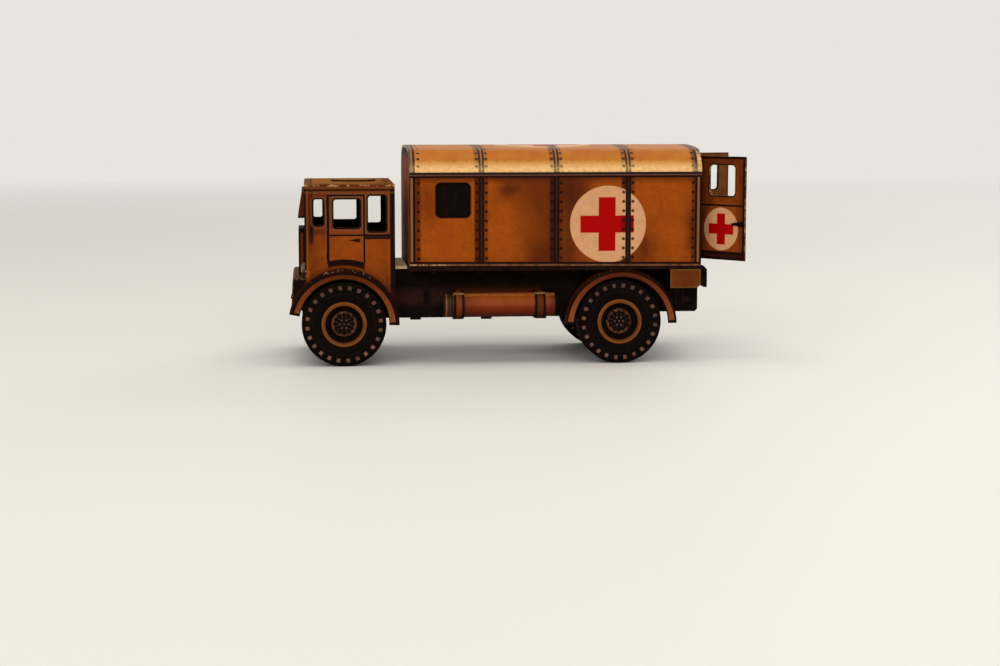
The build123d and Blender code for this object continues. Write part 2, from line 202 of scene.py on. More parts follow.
def band_effect():
    """A soft-edged mask that is 1 where a value lies from low to high."""
    takes = ("value", "low", "high", "blur")
    tree, (value, low, high, blur), leave = effect("band", takes, ("mask",))
    mask = soft_mask(value - low, blur) * soft_mask(high - value, blur)
    join(tree, mask, leave.inputs["mask"])
    return tree


def rivet_effect():
    """A row of printed rivet heads along one reading, where the other is near zero."""
    takes = ("along", "across", "pitch", "start", "radius")
    tree, (along, across, pitch, start, radius), leave = effect("rivet_row", takes, ("mask",))
    half = pitch * 0.5
    step = (along - start).sum("WRAP", half, -half)
    join(tree, soft_mask(radius - length(step, across), 0.1), leave.inputs["mask"])
    return tree


def frame_effect():
    """How far a point is outside a rounded rectangle, in millimetres: negative inside it."""
    takes = ("u", "v", "half_u", "half_v", "corner")
    tree, (u, v, half_u, half_v, corner), leave = effect("rounded_frame", takes, ("distance",))
    over_u = abs(u) - half_u + corner
    over_v = abs(v) - half_v + corner
    outside = length(over_u.most(0.0), over_v.most(0.0))
    inside = over_u.most(over_v).least(0.0)
    join(tree, outside + inside - corner, leave.inputs["distance"])
    return tree


def roundel_effect():
    """A pale disc with an upright cross on it."""
    takes = ("u", "v", "radius", "reach", "arm", "shift")
    tree, (u, v, radius, reach, arm, shift), leave = effect("roundel", takes, ("disc", "cross"))
    disc = soft_mask(radius - length(u, v), 0.12)
    from_middle = abs(u - shift)
    wide = (from_middle - reach).most(abs(v) - arm)
    tall = (from_middle - arm).most(abs(v) - reach)
    join(tree, disc, leave.inputs["disc"])
    join(tree, soft_mask(-wide.least(tall), 0.125), leave.inputs["cross"])
    return tree


def noise(tree, place, scale, detail, rough):
    node = tree.nodes.new("ShaderNodeTexNoise")
    join(tree, place, node.inputs["Vector"])
    join(tree, scale, node.inputs["Scale"])
    node.inputs["Detail"].default_value = detail
    node.inputs["Roughness"].default_value = rough
    return Reading(tree, node.outputs[0])


def spread(reading, low, high):
    """Stretch a reading so that low becomes 0 and high becomes 1."""
    return ((reading - low) / (high - low)).clamped()


def grain_effect():
    """The fine tooth of printed card, as a height, and the flecks of its ink, from 0 to 1."""
    tree, (place,), leave = effect("card_grain", ("place",), ("height", "fleck"))
    fine = noise(tree, place, 9.0, 3.0, 0.6)
    fibre = noise(tree, place, 2.6, 4.0, 0.7)
    join(tree, fine * 0.6 + fibre * 0.4, leave.inputs["height"])
    join(tree, spread(noise(tree, place, 4.5, 4.0, 0.65), 0.3, 0.7), leave.inputs["fleck"])
    return tree


def airbrush_effect():
    """A soft cloud of shading round a point, broken up a little: 1 at its middle."""
    takes = ("place", "u", "v", "half_u", "half_v")
    tree, (place, u, v, half_u, half_v), leave = effect("airbrush", takes, ("mask",))
    away = length(u / half_u, v / half_v)
    fall = (-(away * away)).sum("EXPONENT")
    broken = fall * (noise(tree, place, 0.5, 2.0, 0.5) * 0.9 + 0.55)
    join(tree, broken.clamped(), leave.inputs["mask"])
    return tree


def edge_effect():
    """Cut card edges: how pale the raw board shows between smudges of ink and touch-up."""
    tree, (place, cover), leave = effect("cut_edge", ("place", "cover"), ("raw",))
    patches = noise(tree, place, 0.8, 5.0, 0.7)
    join(tree, soft_mask(patches - cover, 0.16), leave.inputs["raw"])
    return tree


BAND = band_effect()
RIVETS = rivet_effect()
FRAME = frame_effect()
ROUNDEL = roundel_effect()
GRAIN = grain_effect()
AIRBRUSH = airbrush_effect()
CUT_EDGE = edge_effect()


def use(effect_tree, tree, **values):
    """Put a node group into a tree with its own values, and give its outputs as readings."""
    node = tree.nodes.new("ShaderNodeGroup")
    node.node_tree = effect_tree
    for label, value in values.items():
        join(tree, value, node.inputs[label])
    outputs = [Reading(tree, out) for out in node.outputs]
    return outputs[0] if len(outputs) == 1 else outputs


class Card:
    """One printed card material as it is drawn: its readings, and its colour so far."""

    def __init__(self, name, colour, turn=0.0, centre=(mid_x, mid_y), flip=False):
        self.material = bpy.data.materials.new(name)
        self.material.use_nodes = True
        self.tree = self.material.node_tree
        self.shader = self.tree.nodes["Principled BSDF"]
        surface = self.tree.nodes.new("ShaderNodeTexCoord").outputs
        side = -1.0 if flip else 1.0
        to_millimetres = (1 / MM, side / MM, 1 / MM)
        self.place = self.turned(surface["Object"], "POINT", to_millimetres, turn, centre)
        facing = self.turned(surface["Normal"], "VECTOR", (1.0, side, 1.0), turn)
        self.x, self.y, self.z = self.split(self.place)
        self.face_x, self.face_y, self.face_z = self.split(facing)
        self.across = abs(self.y)
        self.colour = colour

    def turned(self, source, kind, scale, turn, centre=(0.0, 0.0)):
        """Scale and turn a vector about the upright axis, with centre moved to zero."""
        node = self.tree.nodes.new("ShaderNodeMapping")
        node.vector_type = kind
        node.inputs["Scale"].default_value = scale
        node.inputs["Rotation"].default_value = (0.0, 0.0, turn)
        if kind == "POINT":
            x, y = centre[0] * scale[0], centre[1] * scale[1]
            moved_x = x * math.cos(turn) - y * math.sin(turn)
            moved_y = x * math.sin(turn) + y * math.cos(turn)
            node.inputs["Location"].default_value = (-moved_x, -moved_y, -ZERO_Z / MM)
        self.tree.links.new(source, node.inputs["Vector"])
        return node.outputs["Vector"]

    def split(self, vector):
        node = self.tree.nodes.new("ShaderNodeSeparateXYZ")
        self.tree.links.new(vector, node.inputs[0])
        return [Reading(self.tree, out) for out in node.outputs]

    def band(self, value, low, high, blur=PRINT_BLUR):
        """Where a value lies from low to high, with edges as soft as blur."""
        return use(BAND, self.tree, value=value, low=low, high=high, blur=blur)

    def above(self, value, low, blur=PRINT_BLUR):
        return self.band(value, low, BEYOND, blur)

    def below(self, value, high, blur=PRINT_BLUR):
        return self.band(value, -BEYOND, high, blur)

    def near(self, value, reach):
        """Where a value is no further than reach from zero, on either side."""
        return self.below(abs(value), reach)

    def facing(self, reading, least=FACING):
        """Where the surface faces one way. The reading says how far it does, up to 1."""
        return self.above(reading, least, FACING_BLUR)

    def side_faces(self):
        return self.facing(abs(self.face_y))

    def end_faces(self):
        return self.facing(abs(self.face_x))

    def rivets(self, along, across, pitch=RIVET_PITCH, start=0.0, radius=0.31):
        return use(
            RIVETS, self.tree, along=along, across=across, pitch=pitch, start=start, radius=radius
        )

    def outline(self, u, v, half_u, half_v, corner):
        return use(FRAME, self.tree, u=u, v=v, half_u=half_u, half_v=half_v, corner=corner)

    def cloud(self, u, v, half_u, half_v):
        return use(
            AIRBRUSH, self.tree, place=self.place, u=u, v=v, half_u=half_u, half_v=half_v
        )

    def patches(self, scale, detail, rough, low, high):
        """Uneven patches from 0 to 1: noise stretched so that low is 0 and high is 1."""
        return spread(noise(self.tree, self.place, scale, detail, rough), low, high)

    def fibres(self, stretch, detail, rough, low, high):
        """Streaks from 0 to 1: patches drawn out along the axis that stretch scales least."""
        drawn_out = self.tree.nodes.new("ShaderNodeMapping")
        drawn_out.inputs["Scale"].default_value = stretch
        self.tree.links.new(self.place, drawn_out.inputs["Vector"])
        lines = noise(self.tree, drawn_out.outputs["Vector"], 1.0, detail, rough)
        return spread(lines, low, high)

    def paint(self, mask, colour):
        """Lay a colour over what is there, as far as the mask says."""
        node = self.tree.nodes.new("ShaderNodeMix")
        node.data_type = "RGBA"
        join(self.tree, mask, node.inputs[MIX_FACTOR])
        join(self.tree, self.colour, node.inputs[MIX_UNDER])
        join(self.tree, colour, node.inputs[MIX_OVER])
        self.colour = node.outputs[MIX_RESULT]

    def mottle(self, colour, size, amount):
        """Uneven ink: patches of another colour. A larger size gives smaller patches."""
        self.paint(self.patches(size, 3.0, 0.55, 0.38, 0.72) * amount, colour)

    def raw_edges(self, printed, cover=0.45):
        """Show cut board wherever the print isn't."""
        raw = use(CUT_EDGE, self.tree, place=self.place, cover=cover)
        bare = printed.flipped()
        self.paint(bare, RAW_SMUDGE)
        self.paint(bare * raw, RAW_CARD)

    def blacken(self, mask):
        """Brushed black paint, worn a little."""
        self.paint(mask, BLACKENED)
        self.paint(mask * self.patches(1.4, 4.0, 0.7, 0.5, 0.8) * 0.5, BLACK_WORN)

    def finish(self, roughness, sheen=0.04, fleck=0.16):
        """Close the material: flecked ink, the card's tooth as bump, and its own roughness."""
        height, flecks = use(GRAIN, self.tree, place=self.place)
        self.paint(flecks * fleck, LINE)
        self.tree.links.new(self.colour, self.shader.inputs["Base Color"])
        bump = self.tree.nodes.new("ShaderNodeBump")
        bump.inputs["Strength"].default_value = TOOTH_STRENGTH
        bump.inputs["Distance"].default_value = TOOTH_DEPTH
        join(self.tree, height, bump.inputs["Height"])
        self.tree.links.new(bump.outputs["Normal"], self.shader.inputs["Normal"])
        rough = flecks * FLECK_ROUGHNESS + (roughness - FLECK_ROUGHNESS / 2)
        join(self.tree, rough, self.shader.inputs["Roughness"])
        self.shader.inputs["Specular IOR Level"].default_value = sheen
        return self.material


def nearest_post(card):
    """How far a point is from the nearest of the three upright posts."""
    away = abs(card.x - POSTS[0])
    for post in POSTS[1:]:
        away = away.least(abs(card.x - post))
    return away


def shade_beside_posts(card, strength):
    """Printed shade along each post, dark ahead of it and softer behind."""
    for post in POSTS:
        behind = card.band(card.x - post, 0.4, 1.2, 0.5)
        ahead = card.band(card.x - post, -1.35, -0.4, 0.2)
        card.paint(behind * (0.55 * strength), BROWN_DARK)
        card.paint(ahead * (0.85 * strength), ink(46, 14, 2))


def draw_posts(card, up, start, pitch, middle):
    """The three posts and the two end posts, each a strip between dark lines, with rivets."""
    away = nearest_post(card)
    card.paint(card.below(away, 0.54), LINE)
    card.paint(card.below(away, 0.14, 0.16), middle)
    card.paint(card.rivets(up, away - 0.9, pitch, start) * 0.9, LINE)
    from_front = card.x - BODY_FRONT
    from_rear = BODY_REAR - card.x
    ends = from_front.least(from_rear)
    card.paint(card.below(from_rear, 1.9, 0.7) * 0.75, BROWN_DARK)
    card.paint(card.below(from_front, 1.12), LINE)
    card.paint(card.band(from_front, 0.2, 0.68, 0.16), DULL_LINE)
    card.paint(card.below(from_rear, 1.3), LINE)
    card.paint(card.band(from_rear, 0.42, 0.88, 0.16), DULL_LINE)
    card.paint(card.rivets(up, ends - 1.72, pitch, start) * 0.9, LINE)


def draw_roundel(card, u, v, radius=7.4, reach=5.2, arm=1.65, shift=0.0):
    disc, cross = use(
        ROUNDEL, card.tree, u=u, v=v, radius=radius, reach=reach, arm=arm, shift=shift
    )
    card.paint(disc, DISC)
    card.paint(disc * card.patches(0.7, 3.0, 0.6, 0.4, 0.8) * 0.3, PALE_LINE)
    card.paint(cross, CROSS)
    return cross


# Load body

def side_card():
    card = Card("printed_side_card", BROWN)
    card.mottle(BROWN_DARK, 0.3, 0.22)
    card.paint(card.patches(2.4, 3.0, 0.6, 0.35, 0.7) * 0.2, BROWN_DARK)
    # painted shade under the eave of the roof
    card.paint(card.above(card.z, 35.2, 1.3) * 0.75, ink(52, 18, 4))
    card.paint(card.below(card.z, 20.0, 2.0) * 0.3, BROWN_DARK)
    # the second panel darkens along a slant, and the third starts as dark
    slant = card.x + card.z * 0.4
    card.paint(card.above(slant, 19.2, 7.0) * card.band(card.x, 0.0, 14.0) * 0.68, BROWN_DARK)
    card.paint(card.band(card.x, 14.5, 19.0, 5.0) * 0.85, BROWN_DARK)
    for along, up, half_along, half_up in (
        (5.0, 33.6, 2.2, 1.8), (11.2, 20.6, 4.0, 3.6), (17.6, 33.0, 4.0, 4.0),
        (31.2, 22.2, 3.0, 3.8), (40.8, 26.0, 1.4, 6.0),
    ):
        cloud = card.cloud(card.x - along, card.z - up, half_along, half_up)
        card.paint(cloud * 0.75, BROWN_DARK)
    card.paint(card.cloud(card.x + 10.8, card.z - 31.0, 3.0, 3.6) * 0.6, ink(90, 26, 2))
    card.paint(card.band(card.x - BODY_FRONT, 0.9, 2.1, 0.5) * 0.7, ink(60, 14, 0))
    shade_beside_posts(card, 1.0)
    cross = draw_roundel(card, card.x - 24.28, card.z - 26.85, shift=-0.2)
    card.paint(cross * card.above(card.x, POSTS[2] - 1.42, 0.12) * 0.6, ink(92, 2, 2))
    draw_posts(card, card.z, TOP_RIVET_Z, RIVET_PITCH, POST_GREY)
    window = card.outline(card.x + 5.71, card.z - 31.58, 3.325, 3.325, 1.0)
    card.paint(card.below(window, 0.14, 0.3), LINE)
    card.paint(card.above(card.z, 35.85), LINE)
    card.paint(card.above(card.z, 36.22, 0.12), EAVE_LINE)
    # the lines along the foot were cut a little out of true
    foot = card.z + card.x * 0.0075 - 0.28
    card.paint(card.below(foot, 19.45), LINE)
    worn = card.patches(0.9, 3.0, 0.6, 0.35, 0.65)
    card.paint(card.band(foot, 18.68, 19.02, 0.12) * (worn * 0.5 + 0.35), DULL_LINE)
    bright = card.below(card.x, -7.0, 4.0) * card.patches(2.2, 3.0, 0.6, 0.45, 0.6)
    card.paint(card.band(foot, 18.7, 18.92, 0.1) * bright, RAW_CARD)
    outer = card.above(card.across, SIDE_PLANE - 0.3, CARD_BLUR)
    printed = outer * card.side_faces()
    card.raw_edges(printed)
    card.blacken(card.below(window, 0.06, 0.02) * printed.flipped())
    card.blacken(outer.flipped())
    return card.finish(0.66)


def roof_card():
    card = Card("printed_roof_card", ROOF_BROWN)
    card.mottle(BROWN, 0.25, 0.6)
    side_reach = (card.across - CURVE_START).most(0.0)
    turn = (card.z - EAVE_Z).sum("ARCTAN2", side_reach)
    over = turn * EAVE_RADIUS + (CURVE_START - card.across).most(0.0)
    shade_beside_posts(card, 0.45)
    draw_roundel(card, card.x - 13.4, card.y, radius=9.8, reach=7.0, arm=2.3)
    # a painted highlight: a broken band of pale gold low on the curve, where the gloss would
    # catch the light
    ripple = card.patches(1.4, 4.0, 0.65, 0.3, 0.62)
    shine = card.band(over + ripple * 0.7, 0.2, 2.6, 1.9) * (ripple * 0.55 + 0.35)
    card.paint(shine * 0.85, ROOF_GOLD)
    draw_posts(card, over, 1.75, 1.6, PALE_LINE)
    # the painted highlight again, lightly over the posts
    card.paint(shine * 0.25, ROOF_GOLD)
    # bright flecks in the painted highlight
    flecks = card.patches(3.4, 4.0, 0.7, 0.5, 0.64)
    card.paint(card.band(over, 0.9, 1.8, 0.7) * flecks * 0.55, ink(240, 206, 138))
    worn_end = card.above(card.x, BODY_REAR - 0.7, 0.3) * card.below(over, 5.0, 2.5)
    card.paint(worn_end * ripple * 0.85, ROOF_GOLD)
    card.paint(card.below(over, 0.6), LINE)
    card.paint(card.below(over, 0.12), EAVE_LINE)
    reach = length(side_reach, (card.z - EAVE_Z).most(0.0))
    outer = card.above(reach, EAVE_RADIUS - CARD_THICKNESS / 2, CARD_BLUR)
    on_top = card.facing(card.face_z, 0.3) * card.above(card.z, CROWN_Z - 0.6, CARD_BLUR)
    uncut = card.facing(abs(card.face_x), 0.5).flipped()
    card.raw_edges(outer.most(on_top) * uncut)
    card.blacken(outer.flipped() * on_top.flipped() * uncut)
    return card.finish(0.42, sheen=0.1, fleck=0.12)


def end_card():
    """The body's front wall and the frame round its rear doorway."""
    card = Card("printed_end_card", BROWN)
    card.mottle(BROWN_DARK, 0.25, 0.6)
    card.paint(card.above(card.z, 34.5, 5.0) * 0.45, BROWN_DARK)
    rim = (SIDE_PLANE - card.across).least(CROWN_Z - card.z)
    corner = length((card.across - CURVE_START).most(0.0), (card.z - EAVE_Z).most(0.0))
    rim = rim.least(EAVE_RADIUS - corner)
    card.paint(card.below(rim, 2.2, 1.0) * 0.4, BROWN_DARK)
    card.paint(card.below(rim, 0.85), LINE)
    card.paint(card.rivets(card.z, rim - 1.35, start=TOP_RIVET_Z) * 0.9, LINE)
    doorway = card.outline(card.y, card.z - REAR_DOOR_Z, HINGE_Y, 9.85, 0.1)
    card.paint(card.band(doorway, 0.0, 0.5) * card.above(card.x, 30.0), LINE)
    front = card.below(card.x, 0.0)
    card.paint(card.near(card.across - 5.4, 0.16) * front, LINE)
    card.paint(card.rivets(card.z, card.across - 6.2, start=TOP_RIVET_Z) * front * 0.9, LINE)
    card.paint(card.band(card.z, 18.0, 19.0, 0.1), LINE)
    inner = card.band(card.x, BODY_FRONT + 0.2, BODY_REAR - 0.2, CARD_BLUR)
    card.raw_edges(inner.flipped() * card.end_faces())
    card.blacken(inner * card.end_faces())
    return card.finish(0.62)


def door_card(name, hinge_y, turn, flip):
    """A rear door. Along it, y runs from its hinge to its free edge."""
    centre = (mid_x + HINGE_X * MM, mid_y + hinge_y * MM)
    card = Card(name, ink(140, 67, 16), turn=turn, centre=centre, flip=flip)
    card.mottle(BROWN_DARK, 0.3, 0.65)
    card.paint(card.above(card.z, 30.0, 6.0) * 0.25, BROWN_DARK)
    edge = card.outline(card.y - 5.7, card.z - REAR_DOOR_Z, 5.6, 10.05, 0.1)
    card.paint(card.above(edge, -1.6, 1.6) * 0.55, BROWN_DARK)
    draw_roundel(card, card.y - 5.6, card.z - 25.7, radius=4.15, reach=3.02, arm=1.0)
    card.paint(card.band(card.z, 30.12, 30.48), LINE)
    card.paint(card.band(card.z, 19.0, 20.9), ink(42, 16, 7))
    card.paint(card.band(card.z, 20.85, 21.35), LINE)
    card.paint(card.above(edge, -0.5), LINE)
    inside = card.facing(-card.face_x, 0.5)
    card.paint(inside, ink(112, 64, 26))
    card.paint(inside * card.patches(0.35, 3.0, 0.6, 0.4, 0.75) * 0.5, BROWN_DARK)
    card.paint(inside * card.above(edge, -0.45, 0.3) * 0.6, RAW_SMUDGE)
    window = card.outline(card.y - 5.75, card.z - 35.15, 3.15, 2.95, 0.7)
    card.paint(card.below(window, 0.26, 0.15), LINE)
    marks = card.near(abs(card.y - 6.2) - 1.5, 0.18)
    card.paint(marks * card.band(card.z, 31.2, 31.45) * 0.8, PALE_LINE)
    card.raw_edges(card.end_faces(), 0.56)
    return card.finish(0.6)


# Cab

def cab_side_card():
    card = Card("printed_cab_side_card", ink(148, 67, 10))
    card.mottle(BROWN_DARK, 0.25, 0.5)
    card.paint(card.fibres((0.5, 0.5, 4.5), 4.0, 0.6, 0.42, 0.72) * 0.2, BROWN_DARK)
    upper = card.above(card.z, 24.9, 0.5)
    card.paint(upper * 0.9, ink(90, 39, 14))
    # painted shade along the front corner, where the side turns away from the light
    front_corner_shade = card.below(card.x, -32.5, 0.4) * card.above(card.z, 23.0, 3.0)
    card.paint(front_corner_shade * 0.6, ink(78, 26, 8))
    card.paint(card.cloud(card.x + 33.4, card.z - 27.5, 1.4, 6.0) * 0.7, BROWN_DARK)
    card.paint(card.cloud(card.x + 17.6, card.z - 15.0, 2.0, 3.4) * 0.7, BROWN_DARK)
    card.paint(card.cloud(card.x + 32.6, card.z - 21.0, 1.8, 4.0) * 0.4, BROWN_DARK)
    card.paint(card.below(card.x, CAB_FRONT + 0.32, 0.15), LINE)
    card.paint(card.band(card.x, CAB_FRONT + 0.4, CAB_FRONT + 0.7, 0.2) * 0.35, PALE_LINE)
    corner = length(card.x - CAB_FRONT, card.z - 17.4)
    speckle = card.patches(2.4, 4.0, 0.7, 0.5, 0.6)
    card.paint(card.below(corner, 1.0, 0.6) * speckle, PALE_LINE)
    # painted shade along the fold behind the front corner, softer and wider at its foot
    slant = card.x - card.z * 0.012 + 33.05
    foot, rest = card.band(card.z, 23.2, 27.0, 1.0), card.band(card.z, 26.0, 33.2, 1.2)
    card.paint(card.band(slant, -0.45, 0.4, 0.4) * foot * 0.8, LINE)
    card.paint(card.band(slant, -0.2, 0.18, 0.25) * rest * 0.5, LINE)
    card.paint(card.above(card.x, CAB_REAR - 0.95), LINE)
    card.paint(card.band(card.x, CAB_REAR - 1.25, CAB_REAR - 0.98, 0.15) * 0.25, PALE_LINE)
    # drip rail, with the paler roof edge over it
    card.paint(card.above(card.z, 33.68, 0.15) * 0.85, ink(104, 52, 18))
    card.paint(card.band(card.z, 33.38, 33.68), LINE)
    card.paint(card.band(card.z, 32.8, 33.2, 0.15) * 0.2, PALE_LINE)
    door_x, door_half = -26.16, 3.5
    door = card.outline(card.x - door_x, card.z - 25.0, door_half, 7.5, 0.2)
    doors_width = card.band(card.x, door_x - door_half, door_x + door_half)
    # painted light: a paler band on the door below its window, as on a lit sill
    card.paint(card.band(card.z, 24.9, 26.1, 0.5) * doors_width * 0.75, ink(128, 60, 22))
    door_foot, door_head = 19.4, 32.6
    over_foot = card.above(card.z, door_foot)
    card.paint(card.near(door, 0.46) * over_foot * 0.3, DULL_LINE)
    card.paint(card.band(door, -0.2, 0.18) * over_foot, LINE)
    from_hinge = card.x - (door_x - door_half)
    post = card.band(card.z, door_foot, door_head)
    card.paint(card.band(from_hinge, -0.2, 0.3) * post, LINE)
    hinges = card.band(card.z, 30.0, 31.6).most(card.band(card.z, 20.3, 21.4))
    card.paint(card.band(from_hinge, -0.3, 0.1) * hinges, LINE)
    # belt line, doubled behind the door
    behind = card.above(card.x, door_x + door_half)
    on_door = card.above(card.x, door_x - door_half)
    card.paint(card.band(card.z, 24.66, 25.0) * on_door, LINE)
    card.paint(card.band(card.z, 24.06, 24.95) * behind, LINE)
    card.paint(card.band(card.z, 24.42, 24.62, 0.16) * behind * 0.7, POST_GREY)
    # the door handle's tapered mark
    taper = (card.x + 25.7) * 0.19
    handle = card.below(abs(card.z - 23.85) - taper, 0.0)
    card.paint(handle * card.band(card.x, -25.7, -23.5), LINE)
    # each window's printed rubber, with a lit line outside it
    for middle_x, middle_z, half_x, half_z in (
        (-31.4, 29.28, 0.9, 2.48), (-26.0, 29.0, 2.5, 2.7), (-20.2, 28.98, 1.7, 3.38),
    ):
        pane = card.outline(card.x - middle_x, card.z - middle_z, half_x, half_z, 0.45)
        card.paint(card.band(pane, 0.36, 0.62, 0.15) * 0.3, DULL_LINE)
        card.paint(card.below(pane, 0.3, 0.12), LINE)
    # the dark arc over the wheel
    arch = length(card.x + AXLE_X, card.z - AXLE_Z)
    card.paint(card.band(arch, 11.15, 12.36) * doors_width, LINE)
    card.paint(card.below(arch, 11.3, 0.4) * 0.4, BROWN_DARK)
    outer = card.above(card.across, CAB_PLANE - 0.25, CARD_BLUR)
    card.raw_edges(outer * card.side_faces(), 0.6)
    card.blacken(outer.flipped())
    return card.finish(0.62)


def cab_roof_card():
    card = Card("printed_cab_roof_card", ink(140, 86, 24))
    card.mottle(BROWN_DARK, 0.3, 0.5)
    border = card.outline(card.x + 25.55, card.y, 8.55, 14.0, 0.3)
    card.paint(card.above(border, -1.6, 0.8) * 0.4, BROWN_DARK)
    card.paint(card.near(border + 1.3, 0.1), LINE)
    hatch = length(card.x + 24.4, card.y)
    # painted shade round the raised hatch
    card.paint(card.band(hatch, 4.4, 4.8, 0.3) * 0.4, BROWN_DARK)
    card.paint(card.near(hatch - 4.2, 0.1), LINE)
    card.paint(card.near(card.y, 0.1) * card.below(hatch, 4.0), LINE)
    printed = card.facing(card.face_z, 0.4)
    card.raw_edges(printed, 0.56)
    card.paint(printed.flipped() * card.above(card.z, CAB_TOP + 0.02, 0.02), LINE)
    card.blacken(card.facing(-card.face_z, 0.6))
    return card.finish(0.8, sheen=0.02)


def cab_front_card():
    """The cab's front and back, with panel lines, a lit corner and the windscreen's rubber."""
    card = Card("printed_cab_front_card", BROWN)
    card.mottle(BROWN_DARK, 0.25, 0.55)
    card.paint(card.above(card.z, 26.6, 1.2) * 0.5, BROWN_DARK)
    rim = 13.5 - card.across
    card.paint(card.below(rim, 1.5, 1.0) * 0.5, BROWN_DARK)
    card.paint(card.below(rim, 0.3), LINE)
    card.paint(card.band(rim, 0.36, 0.7, 0.15) * 0.5, PALE_LINE)
    card.paint(card.band(card.z, 26.7, 26.95), LINE)
    card.paint(card.band(card.z, 33.4, 33.65), LINE)
    card.paint(card.near(card.across - 8.0, 0.12) * card.band(card.z, 8.0, 26.7), LINE)
    card.paint(card.rivets(card.across, card.z - 26.0, start=0.9, radius=0.2) * 0.8, LINE)
    card.paint(card.band(card.z, 10.0, 16.9, 1.2) * 0.5, BROWN_DARK)
    inner = card.band(card.x, CAB_FRONT + 0.2, CAB_REAR - 0.2, CARD_BLUR)
    card.raw_edges(inner.flipped() * card.end_faces(), 0.6)
    card.blacken(inner)
    return card.finish(0.62)


def nose_card():
    """The windscreen flap and the radiator box: lit fronts, dark outlines and dark slots."""
    card = Card("printed_nose_card", BROWN)
    card.mottle(BROWN_DARK, 0.4, 0.5)
    on_box = card.below(card.z, 27.0, 0.1)
    box = card.outline(card.y, card.z - 21.05, 6.4, 4.55, 0.9)
    card.paint(card.above(box, -0.28) * on_box, LINE)
    card.paint(card.band(box, -0.62, -0.3, 0.1) * on_box * 0.6, PALE_LINE)
    slots = card.above(card.x, CAB_FRONT - 0.9, 0.15)
    side = card.above(card.across, 6.25, 0.1)
    card.paint(slots * on_box * side.flipped(), BLACKENED)
    card.paint(side * on_box, ink(96, 42, 18))
    card.paint(card.below(card.x, CAB_FRONT - 0.85, 0.12) * side * on_box, LINE)
    card.paint(card.above(card.x, CAB_FRONT - 0.3, 0.12) * side * on_box, LINE)
    on_flap = on_box.flipped()
    flap = card.outline(card.y, card.z - 30.3, 12.2, 2.2, 0.1)
    card.paint(card.above(flap, -0.2) * on_flap, LINE)
    for sign in (-1, 1):
        pane = card.outline(card.y - sign * 5.925, card.z - 30.3, 5.475, 1.4, 0.1)
        card.paint(card.below(pane, 0.16) * on_flap, LINE)
    card.blacken(card.facing(card.face_x, 0.3) * on_flap)
    cheek = card.side_faces() * on_flap
    card.paint(cheek, ink(74, 30, 14))
    card.paint(cheek * card.below(card.z, 28.5, 0.1), LINE)
    return card.finish(0.6)


def apron_card():
    card = Card("printed_bumper_card", BROWN_DARK)
    card.mottle(BROWN, 0.3, 0.6)
    rim = card.outline(card.y, card.z - 13.3, 14.0, 3.2, 0.1)
    card.paint(card.above(rim, -0.35), LINE)
    card.paint(card.band(rim, -0.75, -0.4, 0.15) * 0.5, PALE_LINE)
    card.paint(card.rivets(card.y, card.z - 14.9, 2 * RIVET_PITCH, RIVET_PITCH, 0.3) * 0.9, LINE)
    front = card.facing(-card.face_x)
    card.paint(front.flipped() * card.above(card.x, -36.25, 0.2) * 0.5, BLACKENED)
    edges = card.above(rim, -0.55, 0.5) * card.below(card.x, -36.35, 0.3)
    specks = card.patches(2.0, 4.0, 0.7, 0.5, 0.58)
    card.paint(edges.most(card.above(card.z, 16.3, 0.1) * 0.7) * specks, PALE_LINE)
    return card.finish(0.6)


def lamp_card():
    card = Card("lamp_card", LINE)
    off = length(card.across - 10.2, card.z - 18.1)
    card.paint(card.below(off, 1.3), POST_GREY)
    card.paint(card.below(off, 1.06), LINE)
    card.paint(card.below(off, 0.94), DISC)
    card.paint(card.near(card.y.sum("WRAP", 0.2, -0.2), 0.03) * 0.6, POST_GREY)
    card.raw_edges(card.facing(-card.face_x), 0.6)
    return card.finish(0.35, sheen=0.6)


# Fenders, chassis and side gear

def fender_card(name, centre, outer, lit, sweep, lit_and_rubbed):
    """A fender: its lip has a strip between two radii, dark all round and closed at both ends."""
    centre_x, centre_z = centre
    card = Card(name, ORANGE)
    card.mottle(BROWN_DARK, 0.4, 0.5)
    reach = length(card.x - centre_x, card.z - centre_z)
    height = ((card.z - centre_z) / 10.0).clamped()
    # painted shade: the lip darker towards its top, under the body, and painted paler towards its
    # lower ends
    card.paint(spread(height, 0.25, 1.0) * 0.85, BROWN_DARK)
    card.paint(spread(height, 0.6, 0.0) * 0.35, DULL_LINE)
    # the lit strip widens to its ends, where a dark line closes it
    strip_edge = height * -0.34 + (lit[1] + 0.3)
    card.paint(card.above(reach - strip_edge, 0.0), LINE)
    card.paint(card.below(reach, lit[0]), LINE)
    along = (card.z - centre_z).sum("ARCTAN2", card.x - centre_x)
    line_angle = 0.056
    start, end = (math.radians(angle) for angle in sweep)
    card.paint(card.band(along, start + line_angle, end - line_angle, 0.01).flipped(), LINE)
    face = card.side_faces() * card.above(card.across, SIDE_PLANE - 0.1, CARD_BLUR)
    top = face.flipped()
    card.paint(top, BROWN_DARK)
    card.paint(top * card.patches(0.9, 4.0, 0.7, 0.45, 0.7) * 0.8, BLACKENED)
    specks = card.patches(1.6, 5.0, 0.75, 0.56, 0.68)
    rim = card.above(card.across, 16.22, 0.06) * top * card.above(reach, outer - 0.1)
    card.paint(rim * specks, RAW_CARD)
    # pale rubbed specks on the crown; the rear fender gets few, as painted shade under the body
    crown = card.above(reach, outer - 0.42, 0.2) * face
    crown *= card.above(card.z, centre_z + 8.4, 2.0)
    card.paint(crown * specks * lit_and_rubbed, RAW_CARD)
    return card.finish(0.64, sheen=0.03)


def black_card():
    card = Card("blackened_card", BLACKENED)
    card.paint(card.patches(0.7, 4.0, 0.7, 0.48, 0.78) * 0.4, BLACK_WORN)
    sides = card.facing(abs(card.face_x) + abs(card.face_y), 0.8)
    card.paint(sides * card.patches(1.9, 4.0, 0.7, 0.6, 0.72) * 0.3, RAW_SMUDGE)
    return card.finish(0.66, sheen=0.03)


